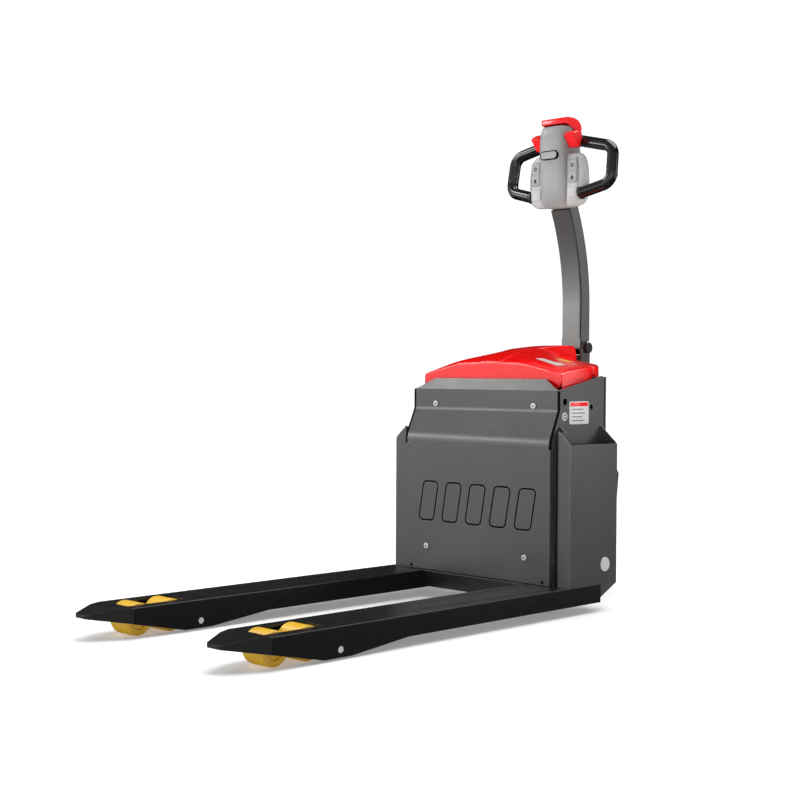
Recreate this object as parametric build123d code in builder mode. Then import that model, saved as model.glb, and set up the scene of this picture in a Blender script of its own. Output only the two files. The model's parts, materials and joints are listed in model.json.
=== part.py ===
from build123d import *
from math import asin, degrees, hypot
import os

os.makedirs("parts", exist_ok=True)

# Pallet truck, powered, walk-behind. Millimetres, +Z up, forks point to -Y, +X is the right side
# seen by the load. The origin is on the floor, in the middle of the truck's length and width.

# Driving dimensions
OVERALL_WIDTH = 685.0
OVERALL_LENGTH = 1752.0
FORK_LENGTH = 1150.0
FORK_WIDTH = 150.0
FORK_TOP = 80.0
LIFT = 115.0
SHEET = 4.0
RUNNING = 0.05                      # radial clearance of a shaft in its bore

LOAD_FACE_Y = FORK_LENGTH - OVERALL_LENGTH / 2
FORK_X = (OVERALL_WIDTH - FORK_WIDTH) / 2

# Side column
INNER_X = 281.0                     # outer face of the inner plates
OUTER_X = 339.5                     # outer face of the side pockets
POCKET_TOP = 472.0
POCKET_APEX = 523.0                 # where the pocket's sloped edge meets the inner plate
POCKET_FLOOR = 330.0
COLUMN_REAR = 228.0
PANEL_SPLIT = 457.0                 # above this height the front panel is a little narrower
GROOVE_DEPTH = 1.5                  # grooves in the blades and in the front panel
MOTIF_COUNT = 5                     # slanted rings grooved into the front panel
MOTIF_X = 3.0
MOTIF_Z = 288.0
MOTIF_PITCH = 94.0
MOTIF_WIDTH = 66.0
MOTIF_HEIGHT = 122.0
MOTIF_SLANT = 22.0
MOTIF_LINE = 6.0
SHOULDER_Y = 37.0                   # how far the front panel's upper part stands back

# Lift linkage
ROCKER_Y, ROCKER_Z = 173.0, 133.0
ROCKER_REACH = 220.0
CRANK_LENGTH = 80.0
ROCKER_HALF_ANGLE = degrees(asin(LIFT / 2 / hypot(ROCKER_REACH, LIFT / 2)))
ROD_Z = 56.0
BRACKET_Y, BRACKET_Z = -835.0, 25.0
BOGIE_Y = -950.0
AXLE_SPREAD = 50.0
LOAD_WHEEL_R = 42.0
LOAD_WHEEL_WIDTH = 70.0

# Power unit
STEER_BACK = 466.0                  # steering axis, behind the load face
DRIVE_WHEEL_R = 105.0
CHASSIS_X = 125.0                   # inner faces of the chassis plates
CYLINDER_BACK = 95.0
TURNTABLE_Z = 236.0

# Tiller
PIVOT_BACK, PIVOT_Z = 475.0, 750.0
ARM_WIDTH, ARM_DEPTH, ARM_WALL = 72.0, 50.0, 4.0
ARM_BOTTOM, ARM_STRAIGHT, ARM_RADIUS = 770.0, 880.0, 755.0
ARM_TURN = 23.5
GRIP_R = 17.5
THROTTLE_BACK, THROTTLE_Z = 405.0, 1381.0
HEAD_SPLIT = 392.0


def back(distance):
    """Y of a point this far behind the load face."""
    return LOAD_FACE_Y + distance


STEER_Y = back(STEER_BACK)


def slab(x0, x1, y0, y1, z0, z1, mode=Mode.ADD):
    """A block between two corners."""
    with Locations(((x0 + x1) / 2, (y0 + y1) / 2, (z0 + z1) / 2)):
        Box(abs(x1 - x0), abs(y1 - y0), abs(z1 - z0), mode=mode)


def bar(x0, x1, y, z, radius, mode=Mode.ADD):
    """A round bar along X."""
    with Locations(Location(((x0 + x1) / 2, y, z), (0, 90, 0))):
        Cylinder(radius, abs(x1 - x0), mode=mode)


def post(x, y, z0, z1, radius, mode=Mode.ADD):
    """A round bar along Z."""
    with Locations((x, y, (z0 + z1) / 2)):
        Cylinder(radius, z1 - z0, mode=mode)


def side_plate(x0, x1, outline, mode=Mode.ADD):
    """A plate that stands along the truck, from its outline of (Y, Z) points."""
    with BuildSketch(Plane.YZ.offset(min(x0, x1))) as face:
        with BuildLine():
            Polyline(*outline, close=True)
        make_face()
    extrude(face.sketch, amount=abs(x1 - x0), mode=mode)


def cross_plate(y0, y1, outline, mode=Mode.ADD):
    """A plate that stands across the truck, from its outline of (X, Z) points."""
    with BuildSketch(Plane.XZ.offset(-y0)) as face:
        with BuildLine():
            Polyline(*outline, close=True)
        make_face()
    extrude(face.sketch, amount=y0 - y1, mode=mode)


def deck_plate(z0, z1, outline, mode=Mode.ADD):
    """A level plate, from its outline of (X, Y) points."""
    with BuildSketch(Plane.XY.offset(z0)) as face:
        with BuildLine():
            Polyline(*outline, close=True)
        make_face()
    extrude(face.sketch, amount=z1 - z0, mode=mode)


def link(x0, x1, ends, mode=Mode.ADD):
    """A lever with round ends, from (Y, Z, radius) of each end."""
    with BuildSketch(Plane.YZ.offset(min(x0, x1))) as face:
        for y, z, radius in ends:
            with Locations((y, z)):
                Circle(radius)
        make_hull()
    extrude(face.sketch, amount=abs(x1 - x0), mode=mode)


def write(piece, name):
    """Label a finished piece and write it."""
    piece.part.label = name
    export_step(piece.part, f"parts/{name}.step")


SIDES = {"left": -1, "right": 1}


# ---------------------------------------------------------------- fork frame

def fork(side):
    """One blade: a pressed channel, open below, with a tapered tip and a slot for the wheels."""
    x = side * FORK_X
    half = FORK_WIDTH / 2
    outline = [(-1150, 58), (-1150, 67), (-1085, FORK_TOP), (152, FORK_TOP), (152, 28), (-610, 27),
               (-800, 6), (-885, 6), (-1045, 40)]
    with BuildPart() as blade:
        side_plate(x - half, x + half, [(back(y), z) for y, z in outline])
        with BuildSketch(Plane.XY):
            with BuildLine():
                Polyline((x - half, back(153)), (x - half, back(-1044)), (x - 25, back(-1150)),
                         (x + 25, back(-1150)), (x + half, back(-1044)), (x + half, back(153)), close=True)
            make_face()
            fillet(vertices().group_by(Axis.Y)[0], radius=14)
        extrude(amount=FORK_TOP + 1, mode=Mode.INTERSECT)
        fillet(blade.edges().filter_by(Axis.Y).group_by(Axis.Z)[-1], radius=2.5)
        hollow = half - SHEET
        slab(x - hollow, x + hollow, back(-1048), back(153), 0, FORK_TOP - SHEET, Mode.SUBTRACT)
        slab(x - 40, x + 40, back(-1038), back(-862), 70, FORK_TOP + 1, Mode.SUBTRACT)
        slab(x - 25, x + 25, back(110), back(153), 70, FORK_TOP + 1, Mode.SUBTRACT)
        left, right = x - half - 1, x + half + 1
        slab(left, right, back(-0.5), back(153), FORK_TOP - 0.5, FORK_TOP + 1, Mode.SUBTRACT)
        groove_floor = FORK_TOP - GROOVE_DEPTH
        slab(left, right, back(-779), back(-776), groove_floor, FORK_TOP + 1, Mode.SUBTRACT)
        bar(left, right, back(BRACKET_Y), BRACKET_Z, 8, Mode.SUBTRACT)
        for spread, start, end in ((-37, -770, -315), (37, -770, -315), (-48, -315, -14), (48, -315, -14)):
            groove = x + spread
            slab(groove - 2.5, groove + 2.5, back(start), back(end), groove_floor, FORK_TOP + 1,
                 Mode.SUBTRACT)
    return blade


def heel_beam():
    """The channel that ties the two blades together, open at its top."""
    half = FORK_X - FORK_WIDTH / 2
    with BuildPart() as beam:
        slab(-half, half, back(-12), back(36), 33, FORK_TOP)
        slab(-half - 1, half + 1, back(-6), back(31), 38, FORK_TOP + 1, Mode.SUBTRACT)
        fillet(beam.edges().filter_by(Axis.X).group_by(Axis.Y)[0], radius=2)
    return beam


def motif_ring(middle):
    """One slanted, round-cornered ring of the pattern on the front panel."""
    low, high = MOTIF_Z - MOTIF_HEIGHT / 2, MOTIF_Z + MOTIF_HEIGHT / 2
    half, slant = MOTIF_WIDTH / 2, MOTIF_SLANT / 2
    with BuildSketch(Plane.XZ.offset(-back(-1))) as ring:
        with BuildLine():
            Polyline((middle - half - slant, low), (middle + half - slant, low),
                     (middle + half + slant, high), (middle - half + slant, high), close=True)
        make_face()
        fillet(ring.vertices(), radius=16)
        offset(amount=-MOTIF_LINE, mode=Mode.SUBTRACT)
    return ring.sketch


def front_panel():
    """The load backrest: one folded sheet with a shoulder, a sloped top flange and a grooved pattern."""
    front = [(0, 82), (0, 480), (SHOULDER_Y, 563), (SHOULDER_Y, 622), (58, 653)]
    rear = [(61.5, 650.5), (SHOULDER_Y + SHEET, 620.5), (SHOULDER_Y + SHEET, 562), (SHEET, 479), (SHEET, 82)]
    bends = [(0, 480, 64), (SHEET, 479, 60), (SHOULDER_Y, 563, 28), (SHOULDER_Y + SHEET, 562, 32)]
    wide, narrow = 280, 275
    with BuildPart() as panel:
        with BuildSketch(Plane.YZ.offset(-wide)) as profile:
            with BuildLine():
                Polyline(*[(back(y), z) for y, z in front + rear], close=True)
            make_face()
            for y, z, radius in bends:
                fillet(profile.vertices().sort_by_distance((back(y), z, 0))[0], radius=radius)
        extrude(amount=2 * wide)
        for side in SIDES.values():
            slab(side * narrow, side * (wide + 1), back(-1), back(70), PANEL_SPLIT, 660, Mode.SUBTRACT)
            corner = [(side * narrow, 622), (side * 213, 654), (side * (wide + 1), 654),
                      (side * (wide + 1), 622)]
            cross_plate(back(30), back(70), corner, Mode.SUBTRACT)
            slab(side * (wide - SHEET), side * wide, back(SHEET), back(14), 82, PANEL_SPLIT)
            slab(side * 251, side * 261, back(-1), back(5), 84, 94, Mode.SUBTRACT)
            with Locations(Location((side * 191, back(2), 152), (90, 0, 0))):
                Cylinder(5, 10, mode=Mode.SUBTRACT)
            with Locations(Location((side * 190, back(SHOULDER_Y + 2), 577.5), (90, 0, 0))):
                Cylinder(5, 10, mode=Mode.SUBTRACT)
        with Locations(Location((-268, back(2), 448), (90, 0, 0))):
            Cylinder(3, 10, mode=Mode.SUBTRACT)
        with BuildSketch(Plane.XZ.offset(-back(-1))) as pattern:
            for index in range(MOTIF_COUNT):
                middle = MOTIF_X + (index - (MOTIF_COUNT - 1) / 2) * MOTIF_PITCH
                add(motif_ring(middle))
        extrude(pattern.sketch, amount=-(1 + GROOVE_DEPTH), mode=Mode.SUBTRACT)
    return panel


def panel_bolts():
    """Four button-head bolts in the front panel."""
    with BuildPart() as bolts:
        for side in SIDES.values():
            for x, y, z in ((191, 0, 152), (190, SHOULDER_Y, 577.5)):
                with Locations(Location((side * x, back(y - 2.5), z), (90, 0, 0))):
                    Cylinder(8.5, 5)
                with Locations(Location((side * x, back(y + 8), z), (90, 0, 0))):
                    Cylinder(4.9, 16)
        heads = bolts.edges().filter_by(GeomType.CIRCLE).filter_by(lambda e: e.radius > 8)
        rims = [e for e in heads if e.center().Y < back(-4) or back(30) < e.center().Y < back(33)]
        fillet(rims, radius=2.2)
    return bolts


def inner_plate(side):
    """The tall side plate beside the power unit, with its two access holes."""
    outer = side * INNER_X
    outline = [(20, 79.5), (20, PANEL_SPLIT), (0, PANEL_SPLIT), (0, 474), (4, 486), (SHOULDER_Y, 563),
               (SHOULDER_Y, 622), (240, 665), (240, 79.5)]
    with BuildPart() as plate:
        side_plate(outer - side * SHEET, outer, [(back(y), z) for y, z in outline])
        for y, z, radius in ((64, 590, 10), (184, 574, 8), (ROCKER_Y, ROCKER_Z, 30)):
            bar(outer - side * 6, outer + side * 2, back(y), z, radius, Mode.SUBTRACT)
        fillet(plate.edges().filter_by(Axis.X).group_by(Axis.Z)[-1], radius=8)
    return plate


def side_pocket(side):
    """The storage pocket: outer wall, front and rear walls with sloped edges, and a floor."""
    wall = OUTER_X - SHEET
    rise = (POCKET_APEX - POCKET_TOP) / (OUTER_X - INNER_X)
    recess_x = 297.0

    def edge_height(x):
        return POCKET_TOP + rise * (OUTER_X - x)

    outline = [(18, 80), (18, POCKET_TOP), (COLUMN_REAR, POCKET_TOP), (COLUMN_REAR, 76.6), (153, 40),
               (153, 80)]
    with BuildPart() as pocket:
        side_plate(side * wall, side * OUTER_X, [(back(y), z) for y, z in outline])
        front = [(side * recess_x, 80), (side * wall, 80), (side * wall, edge_height(wall)),
                 (side * recess_x, edge_height(recess_x))]
        cross_plate(back(16), back(20), front)
        strip_x = recess_x + SHEET
        slab(side * recess_x, side * strip_x, back(20), back(40), 80, edge_height(strip_x))
        recess = [(side * INNER_X, 80), (side * (recess_x + SHEET), 80),
                  (side * (recess_x + SHEET), edge_height(recess_x + SHEET)), (side * INNER_X, POCKET_APEX)]
        cross_plate(back(40), back(44), recess)
        rear = [(side * INNER_X, 80), (side * wall, 80), (side * wall, edge_height(wall)),
                (side * INNER_X, POCKET_APEX)]
        cross_plate(back(COLUMN_REAR - SHEET), back(COLUMN_REAR), rear)
        slab(side * INNER_X, side * wall, back(44), back(COLUMN_REAR), POCKET_FLOOR, POCKET_FLOOR + SHEET)
        slab(side * (recess_x + SHEET), side * wall, back(16), back(44), POCKET_FLOOR, POCKET_FLOOR + SHEET)
        slab(side * wall, side * OUTER_X, back(16), back(18), 80, POCKET_TOP)
        bar(side * (wall - 1), side * (OUTER_X + 1), back(ROCKER_Y), ROCKER_Z, 15 + RUNNING, Mode.SUBTRACT)
    return pocket


def pivot_bosses():
    """The two bearing rings of the rocker shaft, welded inside the pockets."""
    with BuildPart() as bosses:
        for side in SIDES.values():
            bar(side * 312, side * (OUTER_X - SHEET), back(ROCKER_Y), ROCKER_Z, 27)
            bar(side * 311, side * (OUTER_X - SHEET + 1), back(ROCKER_Y), ROCKER_Z, 15 + RUNNING,
                Mode.SUBTRACT)
    return bosses


def lift_crosshead():
    """The box beam that the lift rod pushes up, between the two inner plates."""
    span = INNER_X - SHEET
    with BuildPart() as beam:
        slab(-span, span, back(70), back(120), 455, 495)
        slab(-span - 1, span + 1, back(75), back(115), 460, 490, Mode.SUBTRACT)
        slab(-30, 30, back(75), back(115), 460, 490)
    return beam


def lift_rod():
    """The piston and rod of the lift cylinder."""
    with BuildPart() as rod:
        post(0, back(CYLINDER_BACK), 78, 100, 20 - RUNNING)
        post(0, back(CYLINDER_BACK), 100, 455, 12)
    return rod


def bracket_pins():
    """The two pins that carry the load wheel brackets across the blades."""
    with BuildPart() as pins:
        for side in SIDES.values():
            inner, outer = FORK_X - FORK_WIDTH / 2, FORK_X + FORK_WIDTH / 2
            bar(side * inner, side * outer, back(BRACKET_Y), BRACKET_Z, 8)
    return pins


# ------------------------------------------------------------- load wheels

def wheel_bracket(side):
    """The swinging bracket: two cheeks on a sleeve, with the lugs and pin of the push rod."""
    x = side * FORK_X
    lug_y, lug_z = BRACKET_Y + 19, BRACKET_Z + 29.4
    with BuildPart() as bracket:
        for hand in (-1, 1):
            link(x + hand * 46, x + hand * 54,
                 [(back(BRACKET_Y), BRACKET_Z, 15), (back(BOGIE_Y), LOAD_WHEEL_R, 13)])
            link(x + hand * 10, x + hand * 16, [(back(BRACKET_Y), BRACKET_Z, 13), (back(lug_y), lug_z, 9)])
        bar(x - 46, x + 46, back(BRACKET_Y), BRACKET_Z, 13)
        bar(x - 16, x + 16, back(lug_y), lug_z, 5)
        bar(x - 54, x + 54, back(BOGIE_Y), LOAD_WHEEL_R, 6)
        bar(x - 60, x + 60, back(BRACKET_Y), BRACKET_Z, 8 + RUNNING, Mode.SUBTRACT)
    return bracket


def bogie(side):
    """The tandem rocker: two small plates and the two wheel axles."""
    x = side * FORK_X
    with BuildPart() as rocker:
        for hand in (-1, 1):
            eyes = [(back(BOGIE_Y + spread), LOAD_WHEEL_R, 12) for spread in (-AXLE_SPREAD, AXLE_SPREAD)]
            link(x + hand * 38, x + hand * 44, eyes)
        for spread in (-AXLE_SPREAD, AXLE_SPREAD):
            bar(x - 44, x + 44, back(BOGIE_Y + spread), LOAD_WHEEL_R, 8)
        bar(x - 50, x + 50, back(BOGIE_Y), LOAD_WHEEL_R, 6 + RUNNING, Mode.SUBTRACT)
    return rocker


def load_wheel(side, spread):
    """A polyurethane load wheel on its core, with a bore that runs on the axle."""
    x = side * FORK_X
    y = back(BOGIE_Y + spread)
    half = LOAD_WHEEL_WIDTH / 2
    with BuildPart() as wheel:
        bar(x - half, x + half, y, LOAD_WHEEL_R, LOAD_WHEEL_R)
        rims = wheel.edges().filter_by(GeomType.CIRCLE)
        fillet(rims, radius=4)
        for hand in (-1, 1):
            bar(x + hand * (half - 5), x + hand * (half + 1), y, LOAD_WHEEL_R, 27, Mode.SUBTRACT)
        bar(x - half - 1, x + half + 1, y, LOAD_WHEEL_R, 8 + RUNNING, Mode.SUBTRACT)
    return wheel


def push_rod(side):
    """The rod in the blade, with an open eye at each end so that its ends may rise and fall."""
    x = side * FORK_X
    crank_y = ROCKER_Y + CRANK_LENGTH * LIFT / 2 / hypot(ROCKER_REACH, LIFT / 2)
    lug_y = BRACKET_Y + 19
    with BuildPart() as rod:
        slab(x - 7, x + 7, back(lug_y), back(crank_y), ROD_Z - 8, ROD_Z + 8)
        for y in (lug_y, crank_y):
            with BuildSketch(Plane.YZ.offset(x - 7)):
                with Locations((back(y), ROD_Z)):
                    Circle(14)
            extrude(amount=14)
            with BuildSketch(Plane.YZ.offset(x - 8)):
                with Locations((back(y), ROD_Z)):
                    RectangleRounded(19, 20, 5)
            extrude(amount=16, mode=Mode.SUBTRACT)
    return rod


# ------------------------------------------------------------------ rocker

def rocker_shaft():
    """The torsion shaft across the truck, with a bright cap on each end."""
    y = back(ROCKER_Y)
    with BuildPart() as shaft:
        bar(-305, 305, y, ROCKER_Z, 19)
        bar(-OUTER_X - 0.2, OUTER_X + 0.2, y, ROCKER_Z, 15)
        for side in SIDES.values():
            bar(side * (OUTER_X + 0.2), side * OVERALL_WIDTH / 2, y, ROCKER_Z, 20)
        rims = shaft.edges().filter_by(GeomType.CIRCLE).filter_by(lambda e: e.radius > 19.5)
        fillet(rims.group_by(Axis.X)[0] + rims.group_by(Axis.X)[-1], radius=1)
    return shaft


def rocker_arms():
    """Two slotted arms to the chassis pins and two cranks to the push rods, on the shaft."""
    y, z = ROCKER_Y, ROCKER_Z
    reach = hypot(ROCKER_REACH, LIFT / 2)
    pin_y, pin_z = y + ROCKER_REACH, z + LIFT / 2
    slot_y, slot_z = pin_y - 3.5 * ROCKER_REACH / reach, pin_z - 3.5 * LIFT / 2 / reach
    crank_y, crank_z = y + CRANK_LENGTH * LIFT / 2 / reach, z - CRANK_LENGTH * ROCKER_REACH / reach
    with BuildPart() as arms:
        for side in SIDES.values():
            link(side * 137, side * 149, [(back(y), z, 28), (back(pin_y), pin_z, 22)])
            with BuildSketch(Plane.YZ.offset(min(side * 137, side * 149) - 1)):
                with Locations(Location((back(slot_y), slot_z, 0), (0, 0, ROCKER_HALF_ANGLE))):
                    RectangleRounded(36, 26, 9)
            extrude(amount=14, mode=Mode.SUBTRACT)
            crank_x = side * (FORK_X - 8.5)
            link(crank_x - side * 11, crank_x, [(back(y), z, 26), (back(crank_y), crank_z, 11)])
            bar(crank_x, crank_x + side * 16, back(crank_y), crank_z, 5)
        bar(-300, 300, back(y), z, 19, Mode.SUBTRACT)
    return arms


# -------------------------------------------------------------- power unit

def base_plate():
    """The low deck that carries the lift cylinder and the hydraulic unit."""
    with BuildPart() as plate:
        slab(-CHASSIS_X, CHASSIS_X, back(58), back(335), 50, 62)
        fillet(plate.edges().filter_by(Axis.Z), radius=12)
    return plate


def chassis_plate(side):
    """An upright chassis plate with the pin that the rocker arm works on."""
    outline = [(215, 50), (335, 50), (390, 110), (390, 600), (215, 600)]
    with BuildPart() as plate:
        side_plate(side * CHASSIS_X, side * (CHASSIS_X + 8), [(back(y), z) for y, z in outline])
        fillet(plate.edges().filter_by(Axis.X).group_by(Axis.Z)[-1], radius=20)
        pin_y, pin_z = ROCKER_Y + ROCKER_REACH, ROCKER_Z + LIFT / 2
        bar(side * CHASSIS_X, side * (CHASSIS_X + 8), back(pin_y), pin_z, 16)
        bar(side * (CHASSIS_X + 8), side * 155, back(pin_y), pin_z, 10)
    return plate


def turntable_plate():
    """The deck that holds the slewing ring of the drive unit."""
    with BuildPart() as plate:
        slab(-CHASSIS_X, CHASSIS_X, back(300), STEER_Y - 40, TURNTABLE_Z, TURNTABLE_Z + 12)
        post(0, STEER_Y, TURNTABLE_Z, TURNTABLE_Z + 12, 122)
        post(0, STEER_Y, TURNTABLE_Z - 1, TURNTABLE_Z + 13, 104, Mode.SUBTRACT)
    return plate


def slewing_ring(outer_r, inner_r):
    """One race of the slewing ring."""
    with BuildPart() as ring:
        post(0, STEER_Y, TURNTABLE_Z, TURNTABLE_Z + 18, outer_r)
        post(0, STEER_Y, TURNTABLE_Z - 1, TURNTABLE_Z + 19, inner_r, Mode.SUBTRACT)
    return ring


def lift_cylinder():
    """The lift cylinder barrel with its closed foot and its gland."""
    y = back(CYLINDER_BACK)
    with BuildPart() as cylinder:
        post(0, y, 62, 330, 32)
        post(0, y, 310, 334, 27)
        post(0, y, 72, 312, 20, Mode.SUBTRACT)
        post(0, y, 300, 335, 12 + RUNNING, Mode.SUBTRACT)
    return cylinder


def hydraulic_unit():
    """The oil tank, valve block and upright pump motor."""
    with BuildPart() as unit:
        slab(-118, -20, back(222), back(326), 62, 222)
        fillet(unit.edges().filter_by(Axis.Z), radius=12)
        slab(-20, 70, back(240), back(310), 62, 100)
        post(45, back(275), 100, 214, 42)
        post(45, back(275), 214, 222, 30)
        post(-70, back(300), 222, 232, 14)
    return unit


def battery():
    """The battery block with its two terminal posts."""
    with BuildPart() as block:
        slab(-115, 115, back(217), back(322), 262, 560)
        fillet(block.edges().filter_by(Axis.Z), radius=8)
        for side in SIDES.values():
            post(side * 80, back(270), 560, 572, 9)
    return block


def controller():
    """The motor controller, finned, on the outside of the right chassis plate."""
    with BuildPart() as box:
        slab(CHASSIS_X + 8, 150, back(238), back(340), 380, 560)
        for step in range(9):
            fin_y = 242 + step * 11
            slab(150, 168, back(fin_y), back(fin_y + 4), 384, 556)
    return box


def column_bracket():
    """The upper bracket that steadies the steering column."""
    with BuildPart() as bracket:
        slab(-CHASSIS_X, CHASSIS_X, back(340), back(388), 580, 590)
        slab(-50, 50, back(388), back(510), 580, 590)
        post(0, STEER_Y, 566, 604, 36)
        post(0, STEER_Y, 560, 610, 24 + RUNNING, Mode.SUBTRACT)
    return bracket


COVER_PLAN = [(268, 214), (178, 350), (88, 466), (78, 520), (42, 548)]
HOOD_PLAN = [(268, 214), (178, 350), (84, 466), (60, 505), (38, 532)]
HOOD_DECK = 692.0                   # level of the hood's flat part around the steering column
RIDGE_HALF = 42.0
# distance behind the load face, half width, eave, crest, foot of the ridge, shoulder half width and height
HOOD_SECTIONS = [(66, 268, 668, 705, 701, 124, 700), (90, 268, 673, 714, 711, 160, 708),
                 (140, 268, 681, 733, 730, 124, 712), (212, 268, 689, 745, 741, 140, 709),
                 (290, 207, 695, 753, 741, 106, 713), (350, 178, 696, 756, 727, 90, 709),
                 (416, 127, 697, 757, 712, 70, 705)]


def tapered_outline(plan, inset):
    """An outline that tapers towards the rear, drawn in at its sides and its rear by inset."""
    rear = plan[-1][1]
    right = [(x - inset, back(y - (inset if y == rear else 0))) for x, y in plan]
    return right + [(-x, y) for x, y in reversed(right)]


def rear_cover():
    """The upright cover that tapers around the steering column."""
    with BuildPart() as cover:
        deck_plate(290, 660, tapered_outline(COVER_PLAN, 0))
        deck_plate(289, 661, tapered_outline(COVER_PLAN, 4), Mode.SUBTRACT)
    return cover


def hood_profile(section, inset, z_bottom):
    """The outline of the hood across the truck: two sloping shoulders and a raised flat ridge."""
    half, eave, crest, ridge_foot, shoulder, shoulder_z = section
    ridge = RIDGE_HALF if ridge_foot < crest - 4 else RIDGE_HALF * 0.9
    right = [(half - inset, z_bottom), (half - inset, eave - inset), (shoulder - inset, shoulder_z - inset),
             (RIDGE_HALF + 4 - inset, ridge_foot - inset), (ridge - inset, crest - 2 - inset)]
    return right + [(-x, z) for x, z in reversed(right)]


def hood_arch(inset, z_bottom):
    """The sloping front of the hood, or its hollow when it is inset."""
    profiles = []
    for index, (y, *section) in enumerate(HOOD_SECTIONS):
        place = back(y + (inset if index == 0 else -inset if index == len(HOOD_SECTIONS) - 1 else 0))
        with BuildSketch(Plane.XZ.offset(-place)) as profile:
            with BuildLine():
                Polyline(*hood_profile(section, inset, z_bottom), close=True)
            make_face()
        profiles.append(profile.sketch)
    with BuildPart() as body:
        loft(profiles, ruled=True)
    return body


def hood():
    """The red hood: a thin shell, open below, with a round opening for the steering column."""
    wall = 4
    with BuildPart() as shell:
        add(hood_arch(0, 619).part)
        deck_plate(619, HOOD_DECK, tapered_outline(HOOD_PLAN, 0))
        add(hood_arch(wall, 610).part, mode=Mode.SUBTRACT)
        deck_plate(610, HOOD_DECK - wall, tapered_outline(HOOD_PLAN, wall), Mode.SUBTRACT)
        slab(-280, 280, back(214), back(560), 600, 660, Mode.SUBTRACT)
        post(0, STEER_Y, 600, 800, 51, Mode.SUBTRACT)
    return shell


def drive_guard():
    """The round skirt behind the drive wheel."""
    outline = [(122, 225), (127, 225), (136, 360), (129, 376), (124, 372), (131, 358), (122, 250)]
    with BuildPart() as guard:
        with BuildSketch(Plane(origin=(0, STEER_Y, 0), x_dir=(1, 0, 0), z_dir=(0, -1, 0))):
            with BuildLine():
                Polyline(*outline, close=True)
            make_face()
        revolve(axis=Axis((0, STEER_Y, 0), (0, 0, 1)))
        slab(-150, 150, back(447), back(610), 200, 400, Mode.INTERSECT)
    return guard


# --------------------------------------------------- drive unit and steering

def gearbox():
    """The drive gearbox: a flange under the slewing ring and a housing beside the wheel."""
    with BuildPart() as box:
        slab(-98, -44, STEER_Y - 50, STEER_Y + 50, 56, 224)
        fillet(box.edges().filter_by(Axis.X), radius=22)
        bar(-98, -44, STEER_Y, DRIVE_WHEEL_R, 52)
        post(0, STEER_Y, 222, TURNTABLE_Z, 88)
        bar(-99, -43, STEER_Y, DRIVE_WHEEL_R, 15 + RUNNING, Mode.SUBTRACT)
    return box


def drive_motor():
    """The upright drive motor with its parking brake on top."""
    top = TURNTABLE_Z + 18
    with BuildPart() as motor:
        post(0, STEER_Y, top, top + 8, 86)
        post(0, STEER_Y, top + 8, 405, 64)
        post(0, STEER_Y, 405, 445, 50)
        for ring in range(5):
            post(0, STEER_Y, 290 + ring * 22, 294 + ring * 22, 66)
    return motor


def drive_wheel_hub():
    """The drive wheel's hub and its shaft."""
    with BuildPart() as hub:
        bar(-36, 36, STEER_Y, DRIVE_WHEEL_R, 72)
        bar(16, 37, STEER_Y, DRIVE_WHEEL_R, 58, Mode.SUBTRACT)
        bar(16, 30, STEER_Y, DRIVE_WHEEL_R, 26)
        bar(-94, -36, STEER_Y, DRIVE_WHEEL_R, 15)
    return hub


def drive_tyre():
    """The solid tyre of the drive wheel."""
    with BuildPart() as tyre:
        bar(-37.5, 37.5, STEER_Y, DRIVE_WHEEL_R, DRIVE_WHEEL_R)
        fillet(tyre.edges().filter_by(GeomType.CIRCLE), radius=6)
        bar(-38, 38, STEER_Y, DRIVE_WHEEL_R, 72, Mode.SUBTRACT)
    return tyre


def steering_column():
    """The tube from the drive motor up to the tiller clevis."""
    with BuildPart() as column:
        post(0, STEER_Y, 445, 453, 44)
        post(0, STEER_Y, 453, 688, 24)
        post(0, STEER_Y, 454, 689, 17, Mode.SUBTRACT)
    return column


def tiller_clevis():
    """The round base, two cheeks and front web that the tiller pivots in."""
    cheek = ARM_WIDTH / 2
    with BuildPart() as clevis:
        post(0, STEER_Y, 688, 696, 44)
        for side in SIDES.values():
            slab(side * 30, side * cheek, back(447), back(491), 696, PIVOT_Z)
            link(side * 30, side * cheek, [(back(463), PIVOT_Z, 16), (back(PIVOT_BACK), PIVOT_Z, 16)])
        slab(-31, 31, back(447), back(455), 696, 728)
        bar(-cheek - 1, cheek + 1, back(PIVOT_BACK), PIVOT_Z, 8, Mode.SUBTRACT)
    return clevis


def tiller_pin():
    """The pivot pin of the tiller and its two knobs."""
    with BuildPart() as pin:
        bar(-37, 37, back(PIVOT_BACK), PIVOT_Z, 8)
        for side in SIDES.values():
            bar(side * 36.5, side * 47, back(PIVOT_BACK), PIVOT_Z, 17)
        rims = pin.edges().filter_by(GeomType.CIRCLE).filter_by(lambda e: e.radius > 16)
        fillet(rims.group_by(Axis.X)[0] + rims.group_by(Axis.X)[-1], radius=3)
    return pin


# ------------------------------------------------------------------ tiller

def tiller_root():
    """The pivot block in the foot of the tiller arm."""
    with BuildPart() as block:
        slab(-29.5, 29.5, back(446), back(487), 740, ARM_BOTTOM)
        slab(-32, 32, back(445), back(487), ARM_BOTTOM, 850)
        fillet(block.edges().filter_by(Axis.X).group_by(Axis.Z)[0], radius=12)
        bar(-33, 33, back(PIVOT_BACK), PIVOT_Z, 8 + RUNNING, Mode.SUBTRACT)
    return block


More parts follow.
